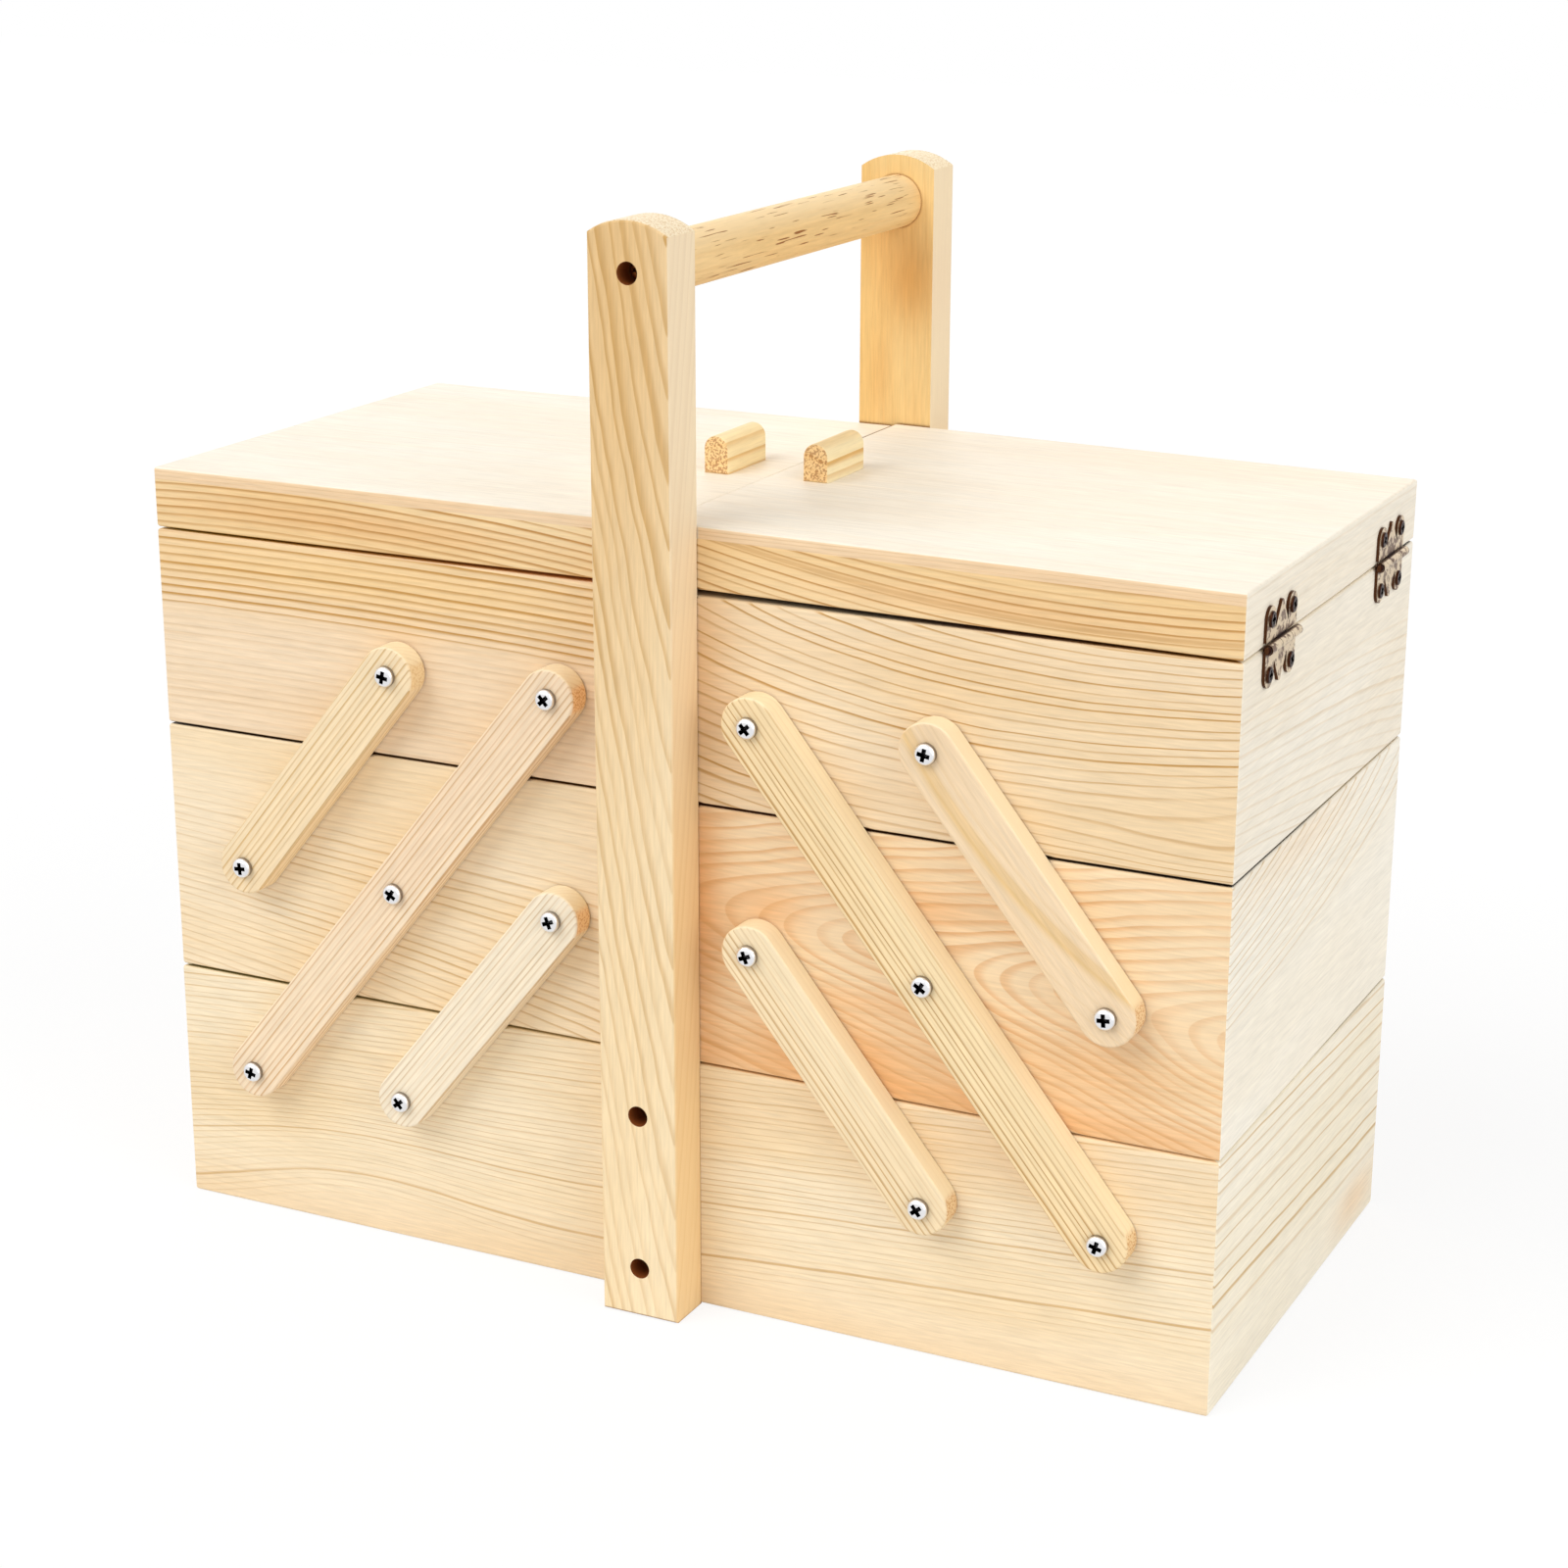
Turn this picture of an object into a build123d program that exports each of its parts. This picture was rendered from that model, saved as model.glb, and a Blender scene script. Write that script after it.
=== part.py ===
from build123d import *
from math import asin, copysign, cos, degrees, radians, sin
from typing import NamedTuple
import os

# Sewing carrier: a base box, two middle trays and two top trays with lids, which fold
# outwards on wooden arms, and a round handle between two posts.
#
# Frame: +X along the length, +Y from front to back, +Z up.
# The origin lies on the underside of the base box, at its middle. Lengths are in millimetres.

# ---------------------------------------------------------------- driving dimensions
# Boxes
base_length = 380.0            # base box along X, which is also the closed carrier's length
box_depth = 176.0              # base box along Y, front face to back face
base_height = 85.1             # base box walls
middle_height = 87.0           # middle tray walls
top_height = 67.0              # top tray walls
wall = 9.0                     # thickness of every wall and lid rail
floor_sheet = 4.0              # thickness of every floor
floor_seat = 5.0               # width of the floor's seat, cut into the foot of each wall
edge_round = 1.0               # rounding of the outer edges of the boxes

# Lids
rail_height = 16.1             # lid frame under the panel
panel_sheet = 4.0              # lid panel
knob_width = 8.8               # along X
knob_length = 28.0             # along Y
knob_height = 12.5
knob_edge = 0.6                # rounding of the edges of the knob's ends
knob_from_middle = 18.0        # knobs from the carrier's middle, along X
lid_lift = {"right": 1.4, "left": 0.7}         # closed lids stand open this much at the middle

# Posts and handle
post_width = 27.5              # along X
post_thickness = 17.0          # along Y
post_edge = 1.0                # rounding of the edges of the posts' outer faces
post_arch = 4.4                # rise of the arched top over its shoulders
dowel_diameter = 18.0
grip_room = 79.4               # from the top of the lids to the dowel's centre line
post_over_dowel = 11.4         # from the dowel's centre line to the posts' shoulders
post_screw_foot = 17.0         # lower post screws above the underside
post_screw_rim = 14.3          # upper post screws below the base box's rim

# Arms
arm_width = 19.0
arm_thickness = 8.2
arm_edge = 0.8                 # rounding of the edges of the arms' outer faces
pivot_from_middle = 35.5       # innermost pivots from the carrier's middle, along X
pivot_from_end = 34.7          # outermost pivots from the ends of the boxes
base_pivot_drop = 30.2         # pivots on the base box below its rim
middle_pivot_drop = 43.6       # pivots on the middle trays below their rim

# Pivot screws
pivot_head_diameter = 7.0
pivot_head_height = 2.3
pivot_shank_diameter = 4.0
pivot_screw_turn = 37.0        # degrees that each cross recess is turned from the one before

# Post screws, sunk in counterbores
post_bore_diameter = 7.0
post_bore_depth = 9.0
post_head_diameter = 6.4
post_head_height = 2.0
post_shank_diameter = 3.6
dowel_screw_grip = 22.0        # length of the handle screws inside the dowel

# Shares of a screw head's or pin end's own size
cross_span_share = 0.6         # cross recess, of the head's diameter
cross_slot_share = 0.2
cross_depth_share = 0.7        # cross recess, of the head's height
head_round_share = 0.7         # rounding of the head's rim, of its height
pin_end_share = 0.6            # rounding of the pin's ends, of their length

# Butterfly hinges
hinge_width = 28.0             # along the pin
hinge_reach = 12.4             # from the pin's axis to the tips of the prongs
hinge_from_edge = 31.0         # middle of each hinge from the front or back face
hinge_sheet = 1.0              # thickness of the leaves
prong_width = 8.0              # outer prongs
middle_prong_tip = 2.4         # across the middle prong's rounded tip
prong_valley = 4.6             # from the pin's axis to the valleys between the prongs
barrel_diameter = 3.2
pin_diameter = 1.6
pin_end_diameter = 2.6         # rounded pin ends, outside the barrel
pin_end_length = 1.4
hinge_head_diameter = 5.0
hinge_head_height = 0.7
hinge_shank_diameter = 2.2
hinge_screw_turn = 31.0        # degrees that each cross recess is turned from the one before

# Clearances
seam_gap = 0.7                 # between one tier and the next
middle_gap = 0.5               # between the left and right trays and lids
post_gap = 0.3                 # trays and lids behind the face that carries the posts
arm_gap = 0.4                  # arms off the base box's front and back faces
head_gap = 0.3                 # pivot screw heads off the arms
pivot_clearance = 0.08         # radial, pivot screws in the arms' bores
pilot_clearance = 0.05         # radial, screws in the bores they are driven into
tip_room = 0.5                 # bores run this much deeper than their screws
screw_skin = 1.5               # wood left beyond the tips of the screws in the walls
leaf_gap = 0.3                 # between moving parts of the hinges
pin_clearance = 0.05           # radial, pins in the barrels

# ---------------------------------------------------------------- places worked out
half_length = base_length / 2
front_face = box_depth / 2                      # |Y| of the base box's front and back faces
tray_face = front_face - post_gap               # |Y| of the trays' front and back faces
middle_bottom = base_height + seam_gap
middle_rim = middle_bottom + middle_height
top_bottom = middle_rim + seam_gap
top_rim = top_bottom + top_height
lid_bottom = top_rim + seam_gap
panel_bottom = lid_bottom + rail_height
lid_top = panel_bottom + panel_sheet
screw_bite = wall - screw_skin                  # length of a screw inside a wall

# Pivots lie in three columns along X and three rows along Z, so all arms are parallel
pivot_pitch = (half_length - pivot_from_middle - pivot_from_end) / 2
pivot_x = [pivot_from_middle + column * pivot_pitch for column in range(3)]
base_pivot_z = base_height - base_pivot_drop
pivot_rise = middle_rim - middle_pivot_drop - base_pivot_z
pivot_z = [base_pivot_z + row * pivot_rise for row in range(3)]
arm_inner_face = front_face + arm_gap           # |Y| of the arms' faces
arm_outer_face = arm_inner_face + arm_thickness
pivot_head_seat = arm_outer_face + head_gap
pivot_screw_length = pivot_head_seat - front_face + screw_bite

dowel_z = lid_top + grip_room
shoulder_z = dowel_z + post_over_dowel
post_head_room = post_thickness - post_bore_depth       # wood under the post screws' heads
post_head_seat = front_face + post_head_room
post_screw_z = [post_screw_foot, base_height - post_screw_rim]

barrel_radius = barrel_diameter / 2
hinge_x = half_length + barrel_radius
hinge_y = front_face - hinge_from_edge
hinge_z = top_rim + seam_gap / 2
prong_middle = (hinge_width - prong_width) / 2  # outer prongs from the hinge's middle
prong_centre = hinge_reach - prong_width / 2    # centre of their round tips from the pin's axis
middle_prong_root = hinge_width - 2 * prong_width
middle_knuckle = hinge_width / 3                # length of the lid leaf's knuckle

sides = {"right": 1, "left": -1}                # sign of X
ends = {"front": -1, "back": 1}                 # sign of Y

os.makedirs("parts", exist_ok=True)


def save(piece, name):
    piece.label = name
    export_step(piece, f"parts/{name}.step")


# ---------------------------------------------------------------- boards of the boxes
class Tier(NamedTuple):
    """The outside of a box or a lid: ends along X, half depth along Y, bottom and top."""

    low_x: float
    high_x: float
    face_y: float
    bottom: float
    top: float


base_box = Tier(-half_length, half_length, front_face, 0, base_height)


def half_tier(side, bottom, top):
    """A tray or a lid, which fills one half of the carrier."""
    low_x, high_x = sorted((sides[side] * middle_gap / 2, sides[side] * half_length))
    return Tier(low_x, high_x, tray_face, bottom, top)


def plan_rectangle(tier, margin):
    """A rectangle that lies this far inside the tier's outline, in the active sketch."""
    with Locations(((tier.low_x + tier.high_x) / 2, 0)):
        Rectangle(tier.high_x - tier.low_x - 2 * margin, 2 * (tier.face_y - margin))


def rounded_block(tier):
    """The tier's outer shape with all its edges rounded."""
    with BuildPart() as block:
        with BuildSketch(Plane.XY.offset(tier.bottom)):
            plan_rectangle(tier, 0)
        extrude(amount=tier.top - tier.bottom)
        fillet(block.edges(), edge_round)
    return block.part


def mitred_outline(tier, facing):
    """Plan corners of the wall that faces front, right, back or left."""
    front, back = -tier.face_y, tier.face_y
    outer = {
        "front": [(tier.low_x, front), (tier.high_x, front)],
        "right": [(tier.high_x, front), (tier.high_x, back)],
        "back": [(tier.high_x, back), (tier.low_x, back)],
        "left": [(tier.low_x, back), (tier.low_x, front)],
    }[facing]
    middle_x = (tier.low_x + tier.high_x) / 2
    inner = [(x + copysign(wall, middle_x - x), y - copysign(wall, y)) for x, y in outer]
    return outer + inner[::-1]


def mitred_board(block, tier, facing, height, seat_depth, bores):
    """One wall or rail, cut from its rounded block, with a seat for the floor in its foot.

    The bores are pairs of a place on the outer face and a radius.
    """
    with BuildPart() as board:
        add(block)
        with BuildSketch(Plane.XY.offset(tier.bottom)):
            with BuildLine():
                Polyline(*mitred_outline(tier, facing), close=True)
            make_face()
        extrude(amount=height, mode=Mode.INTERSECT)
        if seat_depth:
            with BuildSketch(Plane.XY.offset(tier.bottom)):
                plan_rectangle(tier, wall - floor_seat)
            extrude(amount=seat_depth, mode=Mode.SUBTRACT)
        for place, radius in bores:
            with Locations(place):
                Hole(radius, screw_bite + tip_room)
    return board.part


def floor_board(tier):
    with BuildPart() as board:
        with BuildSketch(Plane.XY.offset(tier.bottom)):
            plan_rectangle(tier, wall - floor_seat)
        extrude(amount=floor_sheet)
    return board.part


def face_place(x, end, face_y, z, turn=0):
    """A place on a front or back face, with its own Z axis pointing out of the carrier."""
    across = (cos(radians(turn)), 0, sin(radians(turn)))
    return Plane(origin=(x, ends[end] * face_y, z), x_dir=across, z_dir=(0, ends[end], 0))


def end_place(side, face_x, y, z, turn=0):
    """The same on the left or right end of a top tray or a lid."""
    across = (0, cos(radians(turn)), sin(radians(turn)))
    return Plane(origin=(sides[side] * face_x, y, z), x_dir=across, z_dir=(sides[side], 0, 0))


def pilot_bores(places, shank_diameter):
    return [(place, shank_diameter / 2 + pilot_clearance) for place in places]


# ---------------------------------------------------------------- screws
def pan_screw(head_diameter, head_height, shank_diameter, length):
    """A screw along Z with a cross recess, whose head stands on the plane Z = 0."""
    head_radius = head_diameter / 2
    shank_radius = shank_diameter / 2
    span = head_diameter * cross_span_share
    slot = head_diameter * cross_slot_share
    with BuildPart() as screw:
        with BuildSketch(Plane.XZ):
            with BuildLine():
                Polyline(
                    (0, head_height),
                    (head_radius, head_height),
                    (head_radius, 0),
                    (shank_radius, 0),
                    (shank_radius, shank_diameter - length),
                    (0, -length),
                    close=True,
                )
            make_face()
        revolve(axis=Axis.Z)
        rim = screw.edges().filter_by(GeomType.CIRCLE).sort_by(Axis.Z)[-1]
        fillet(rim, head_height * head_round_share)
        with BuildSketch(Plane.XY.offset(head_height)):
            Rectangle(span, slot)
            Rectangle(slot, span)
        extrude(amount=-head_height * cross_depth_share, mode=Mode.SUBTRACT)
    return screw.part


pivot_screw = pan_screw(
    pivot_head_diameter, pivot_head_height, pivot_shank_diameter, pivot_screw_length
)
post_screw = pan_screw(
    post_head_diameter, post_head_height, post_shank_diameter, post_head_room + screw_bite
)
handle_screw = pan_screw(
    post_head_diameter, post_head_height, post_shank_diameter, post_head_room + dowel_screw_grip
)
hinge_screw = pan_screw(
    hinge_head_diameter, hinge_head_height, hinge_shank_diameter, hinge_sheet + screw_bite
)


# ---------------------------------------------------------------- base box, posts and handle
def pivot_places(side, columns, row, end, face_y):
    """Places of one row of pivots on a front or back face."""
    places = []
    for column in columns:
        turn = pivot_screw_turn * (3 * row + column)
        places.append(face_place(sides[side] * pivot_x[column], end, face_y, pivot_z[row], turn))
    return places


def base_pivot_places(end, face_y):
    return [place for side in sides for place in pivot_places(side, (1, 2), 0, end, face_y)]


def outer_face(piece, out):
    """The face that looks out to the front (-1) or the back (1)."""
    return piece.faces().sort_by(Axis.Y)[0 if out < 0 else -1]


base_block = rounded_block(base_box)
for facing in ("front", "back", "left", "right"):
    bores = []
    if facing in ends:
        bores += pilot_bores(base_pivot_places(facing, front_face), pivot_shank_diameter)
        post_places = [face_place(0, facing, front_face, z) for z in post_screw_z]
        bores += pilot_bores(post_places, post_shank_diameter)
    board = mitred_board(base_block, base_box, facing, base_height, floor_sheet, bores)
    save(board, f"base_{facing}_wall")

save(floor_board(base_box), "base_floor")

for end, out in ends.items():
    with BuildPart() as post:
        with BuildSketch(Plane.XZ.offset(-out * front_face)):
            with BuildLine():
                Polyline(
                    (-post_width / 2, shoulder_z),
                    (-post_width / 2, 0),
                    (post_width / 2, 0),
                    (post_width / 2, shoulder_z),
                )
                ThreePointArc(
                    (post_width / 2, shoulder_z),
                    (0, shoulder_z + post_arch),
                    (-post_width / 2, shoulder_z),
                )
            make_face()
        extrude(amount=-out * post_thickness)
        fillet(outer_face(post, out).edges(), post_edge)
        for z in (*post_screw_z, dowel_z):
            with Locations(face_place(0, end, front_face + post_thickness, z)):
                CounterBoreHole(
                    post_shank_diameter / 2 + pilot_clearance,
                    post_bore_diameter / 2,
                    post_bore_depth,
                )
    save(post.part, f"{end}_post")

with BuildPart() as handle_dowel:
    with BuildSketch(Plane.XZ.offset(-front_face)):
        with Locations((0, dowel_z)):
            Circle(dowel_diameter / 2)
    extrude(amount=box_depth)
    for end in ends:
        with Locations(face_place(0, end, front_face, dowel_z)):
            Hole(post_shank_diameter / 2 + pilot_clearance, dowel_screw_grip + tip_room)
save(handle_dowel.part, "handle_dowel")

with BuildPart() as post_screws:
    for end in ends:
        for z in post_screw_z:
            with Locations(face_place(0, end, post_head_seat, z)):
                add(post_screw)
        with Locations(face_place(0, end, post_head_seat, dowel_z)):
            add(handle_screw)
save(post_screws.part, "post_screws")


def pivot_screw_group(places, name):
    with BuildPart() as screws:
        for place in places:
            with Locations(place):
                add(pivot_screw)
    save(screws.part, name)


pivot_screw_group(
    [place for end in ends for place in base_pivot_places(end, pivot_head_seat)],
    "base_arm_screws",
)


# ---------------------------------------------------------------- trays
def hinge_screw_places(side, direction, face_x):
    """Screws of one lid's hinges, above (+1) or below (-1) the pins."""
    z = hinge_z + direction * prong_centre
    places = []
    for out in ends.values():
        for across in (-1, 1):
            y = out * hinge_y + across * prong_middle
            turn = hinge_screw_turn * (2 * out + across)
            places.append(end_place(side, face_x, y, z, turn))
    return places


def tray(side, level, tier, columns, row):
    """Four walls, a floor and the screws of the arms that carry the tray."""
    block = rounded_block(tier)
    inner_facing = "left" if side == "right" else "right"
    for name, facing in {"front": "front", "back": "back", "inner": inner_facing, "outer": side}.items():
        bores = []
        if name in ends:
            places = pivot_places(side, columns, row, name, tray_face)
            bores = pilot_bores(places, pivot_shank_diameter)
        elif name == "outer" and level == "top":
            places = hinge_screw_places(side, -1, half_length)
            bores = pilot_bores(places, hinge_shank_diameter)
        board = mitred_board(block, tier, facing, tier.top - tier.bottom, floor_sheet, bores)
        save(board, f"{side}_{level}_tray_{name}_wall")
    save(floor_board(tier), f"{side}_{level}_tray_floor")
    pivot_screw_group(
        [
            place
            for end in ends
            for place in pivot_places(side, columns, row, end, pivot_head_seat)
        ],
        f"{side}_{level}_tray_arm_screws",
    )


for side in sides:
    tray(side, "middle", half_tier(side, middle_bottom, middle_rim), (0, 1, 2), 1)
    tray(side, "top", half_tier(side, top_bottom, top_rim), (0, 1), 2)


# ---------------------------------------------------------------- arms
def arm(side, end, pivots):
    """A flat bar with round ends from the first pivot to the last, bored at each pivot."""
    out = ends[end]
    points = [(sides[side] * pivot_x[column], pivot_z[row]) for column, row in pivots]
    first, last = points[0], points[-1]
    middle = ((first[0] + last[0]) / 2, (first[1] + last[1]) / 2)
    with BuildPart() as bar:
        with BuildSketch(Plane.XZ.offset(-out * arm_inner_face)):
            SlotCenterPoint(middle, last, arm_width)
        extrude(amount=-out * arm_thickness)
        fillet(outer_face(bar, out).edges(), arm_edge)
        for x, z in points:
            with Locations(face_place(x, end, arm_outer_face, z)):
                Hole(pivot_shank_diameter / 2 + pivot_clearance)
    return bar.part


# The column and row of each arm's lowest pivot, and how many pivots further up it reaches
for side in sides:
    for kind, column, row, reach in (("long", 2, 0, 2), ("lower", 1, 0, 1), ("upper", 2, 1, 1)):
        pivots = [(column - step, row + step) for step in range(reach + 1)]
        for end in ends:
            save(arm(side, end, pivots), f"{side}_{kind}_arm_{end}")


# ---------------------------------------------------------------- hinges
def hinge_leaf(direction, knuckles):
    """A leaf with three prongs above (+1) or below (-1) the pin, for a right-hand end face.

    The pin's axis is Y, the face lies at X = -barrel_radius, and the knuckles are spans of Y.
    """
    plate_foot = barrel_radius + leaf_gap
    band_height = prong_valley - plate_foot
    prong_height = prong_centre - plate_foot
    tip_centre = hinge_reach - middle_prong_tip / 2
    with BuildPart() as leaf:
        with BuildSketch(Plane.YZ.offset(-barrel_radius)) as plate:
            with Locations((0, direction * (plate_foot + band_height / 2))):
                Rectangle(hinge_width, band_height)
            for y in (-prong_middle, prong_middle):
                with Locations((y, direction * (plate_foot + prong_height / 2))):
                    Rectangle(prong_width, prong_height)
                with Locations((y, direction * prong_centre)):
                    Circle(prong_width / 2)
            with BuildLine():
                Polyline(
                    (-middle_prong_root / 2, direction * prong_valley),
                    (-middle_prong_tip / 2, direction * tip_centre),
                    (middle_prong_tip / 2, direction * tip_centre),
                    (middle_prong_root / 2, direction * prong_valley),
                    close=True,
                )
            make_face()
            with Locations((0, direction * tip_centre)):
                Circle(middle_prong_tip / 2)
            for y in (-prong_middle, prong_middle):
                with Locations((y, direction * prong_centre)):
                    Circle(hinge_shank_diameter / 2 + pilot_clearance, mode=Mode.SUBTRACT)
        extrude(amount=hinge_sheet)
        for low_y, high_y in knuckles:
            with BuildSketch(Plane.XZ.offset(-high_y)):
                Circle(barrel_radius)
                with Locations((hinge_sheet / 2 - barrel_radius, direction * plate_foot / 2)):
                    Rectangle(hinge_sheet, plate_foot)
            extrude(amount=high_y - low_y)
        with BuildSketch(Plane.XZ):
            Circle(pin_diameter / 2 + pin_clearance)
        extrude(amount=hinge_width, both=True, mode=Mode.SUBTRACT)
    return leaf.part


half_width = hinge_width / 2
half_knuckle = middle_knuckle / 2
lid_leaf = hinge_leaf(1, [(leaf_gap / 2 - half_knuckle, half_knuckle - leaf_gap / 2)])
tray_leaf = hinge_leaf(
    -1,
    [(-half_width, -half_knuckle - leaf_gap / 2), (half_knuckle + leaf_gap / 2, half_width)],
)

with BuildPart() as hinge_pin:
    with BuildSketch(Plane.XZ):
        Circle(pin_diameter / 2)
    extrude(amount=half_width, both=True)
    for out in ends.values():
        with BuildSketch(Plane.XZ.offset(-out * half_width)):
            Circle(pin_end_diameter / 2)
        extrude(amount=-out * pin_end_length)
        fillet(outer_face(hinge_pin, out).edges(), pin_end_length * pin_end_share)


def hinge_places(side):
    """Both hinges of one lid: a left-hand hinge is a right-hand one turned round Z."""
    turn = 0 if side == "right" else 180
    return [
        Location((sides[side] * hinge_x, out * hinge_y, hinge_z), (0, 0, turn))
        for out in ends.values()
    ]


def closed_lid(piece, side):
    """A piece of a lid, turned about the hinge pins to where the closed lid rests."""
    pins = Axis((sides[side] * hinge_x, 0, hinge_z), (0, sides[side], 0))
    return piece.rotate(pins, degrees(asin(lid_lift[side] / hinge_x)))


hinge_head_seat = half_length + hinge_sheet
for side in sides:
    with BuildPart() as tray_leaves:
        with Locations(*hinge_places(side)):
            add(tray_leaf)
    save(tray_leaves.part, f"{side}_hinge_tray_leaves")

    with BuildPart() as pins_and_screws:
        with Locations(*hinge_places(side)):
            add(hinge_pin.part)
        for place in hinge_screw_places(side, -1, hinge_head_seat):
            with Locations(place):
                add(hinge_screw)
    save(pins_and_screws.part, f"{side}_hinge_pins_and_tray_screws")

    with BuildPart() as lid_leaves:
        with Locations(*hinge_places(side)):
            add(lid_leaf)
    save(closed_lid(lid_leaves.part, side), f"{side}_hinge_lid_leaves")

    with BuildPart() as lid_screws:
        for place in hinge_screw_places(side, 1, hinge_head_seat):
            with Locations(place):
                add(hinge_screw)
    save(closed_lid(lid_screws.part, side), f"{side}_hinge_lid_screws")


# ---------------------------------------------------------------- lids
for side, sign in sides.items():
    lid = half_tier(side, lid_bottom, lid_top)
    lid_block = rounded_block(lid)

    rails = []
    for facing in ("front", "back", "left", "right"):
        bores = []
        if facing == side:
            places = hinge_screw_places(side, 1, half_length)
            bores = pilot_bores(places, hinge_shank_diameter)
        rail = mitred_board(lid_block, lid, facing, rail_height, 0, bores)
        rails.append(closed_lid(rail, side))
    save(Compound(children=rails), f"{side}_lid_frame")

    with BuildPart() as lid_panel:
        add(lid_block)
        with BuildSketch(Plane.XY.offset(panel_bottom)):
            plan_rectangle(lid, 0)
        extrude(amount=panel_sheet, mode=Mode.INTERSECT)
    save(closed_lid(lid_panel.part, side), f"{side}_lid_panel")

    with BuildPart() as lid_knob:
        with BuildSketch(Plane.XZ):
            with Locations((sign * knob_from_middle, lid_top)):
                Rectangle(
                    knob_width, knob_height - knob_width / 2, align=(Align.CENTER, Align.MIN)
                )
            with Locations((sign * knob_from_middle, lid_top + knob_height - knob_width / 2)):
                Circle(knob_width / 2)
        extrude(amount=knob_length / 2, both=True)
        for out in ends.values():
            fillet(outer_face(lid_knob, out).edges(), knob_edge)
    save(closed_lid(lid_knob.part, side), f"{side}_lid_knob")
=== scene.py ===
import math
from typing import NamedTuple

import bpy
from mathutils import Matrix, Vector


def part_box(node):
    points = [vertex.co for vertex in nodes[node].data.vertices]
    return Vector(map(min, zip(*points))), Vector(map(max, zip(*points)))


# Sewing carrier with two lids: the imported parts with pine, rubberwood, plywood, zinc and bronze
# finishes, in a white studio. Places inside materials are in millimetres, all others in metres.

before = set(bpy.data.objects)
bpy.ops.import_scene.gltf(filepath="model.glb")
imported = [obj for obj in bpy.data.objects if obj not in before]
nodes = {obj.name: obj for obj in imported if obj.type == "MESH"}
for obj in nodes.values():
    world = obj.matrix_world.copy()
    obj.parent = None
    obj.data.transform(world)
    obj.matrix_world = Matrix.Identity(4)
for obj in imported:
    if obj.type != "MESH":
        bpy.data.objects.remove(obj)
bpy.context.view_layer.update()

MM = 1000.0                    # millimetres in a metre
RAMP_LENGTH = 400.0            # millimetres that a colour ramp spans, from end to end of the boxes
SEAM_REACH = 2.2               # millimetres within which the next board paints shade on an edge
EDGE_EVENNESS = 0.75           # how much a plain colour hides the rings on a board's edges

# ---------------------------------------------------------------- sizes from the frame
half_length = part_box("base_right_wall")[1].x * MM
half_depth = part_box("right_lid_frame")[1].y * MM
post_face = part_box("front_post")[0].y * MM


# ---------------------------------------------------------------- node trees
class Signal:
    """A number inside a node tree, with ordinary arithmetic."""

    def __init__(self, tree, socket):
        self.tree = tree
        self.socket = socket

    def math(self, operation, *others):
        node = self.tree.nodes.new("ShaderNodeMath")
        node.operation = operation
        for slot, value in zip(node.inputs, (self, *others)):
            plug(self.tree, slot, value)
        return Signal(self.tree, node.outputs[0])

    def __add__(self, other):
        return self.math("ADD", other)

    def __sub__(self, other):
        return self.math("SUBTRACT", other)

    def __mul__(self, other):
        return self.math("MULTIPLY", other)

    def __truediv__(self, other):
        return self.math("DIVIDE", other)

    def __rsub__(self, other):
        return self * -1 + other

    __radd__ = __add__
    __rmul__ = __mul__

    def __abs__(self):
        return self.math("ABSOLUTE")

    def step(self, low, high):
        """0 below low and 1 above high, or the reverse where high is the lower, with a smooth rise."""
        if low > high:
            return 1 - self.step(high, low)
        node = self.tree.nodes.new("ShaderNodeMapRange")
        node.interpolation_type = "SMOOTHSTEP"
        plug(self.tree, node.inputs["Value"], self)
        node.inputs["From Min"].default_value = low
        node.inputs["From Max"].default_value = high
        return Signal(self.tree, node.outputs["Result"])

    def hashed(self, seed):
        """A random number from 0 to 1 for each whole number."""
        node = self.tree.nodes.new("ShaderNodeTexWhiteNoise")
        node.noise_dimensions = "1D"
        plug(self.tree, node.inputs["W"], self + seed)
        return Signal(self.tree, node.outputs["Value"])


def plug(tree, slot, value):
    if isinstance(value, Signal):
        tree.links.new(value.socket, slot)
    else:
        slot.default_value = value


def coordinates(tree, output, factor=1.0):
    """One of the texture coordinates as three signals."""
    where = tree.nodes.new("ShaderNodeTexCoord")
    split = tree.nodes.new("ShaderNodeSeparateXYZ")
    tree.links.new(where.outputs[output], split.inputs[0])
    return [Signal(tree, part) * factor for part in split.outputs]


def noise(tree, x, y, z, detail=2.0, roughness=0.5):
    """Cloudy noise from 0 to 1 at a point given in units of its own cell."""
    point = tree.nodes.new("ShaderNodeCombineXYZ")
    for slot, value in zip(point.inputs, (x, y, z)):
        plug(tree, slot, value)
    node = tree.nodes.new("ShaderNodeTexNoise")
    tree.links.new(point.outputs[0], node.inputs["Vector"])
    node.inputs["Scale"].default_value = 1.0
    node.inputs["Detail"].default_value = detail
    node.inputs["Roughness"].default_value = roughness
    return Signal(tree, node.outputs["Fac"])


def openness(tree, reach, own_only=True):
    """1 on open surfaces, and less where a surface lies within the reach in millimetres.

    With own_only, only surfaces of the same part count.
    """
    node = tree.nodes.new("ShaderNodeAmbientOcclusion")
    node.only_local = own_only
    node.samples = 8
    node.inputs["Distance"].default_value = reach / MM
    return Signal(tree, node.outputs["AO"])


def blend(tree, share, low, high):
    """Mixes two colours, each an RGBA tuple or a colour signal."""
    node = tree.nodes.new("ShaderNodeMix")
    node.data_type = "RGBA"
    plug(tree, node.inputs[0], share)
    plug(tree, node.inputs[6], low)
    plug(tree, node.inputs[7], high)
    return Signal(tree, node.outputs[2])


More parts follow.
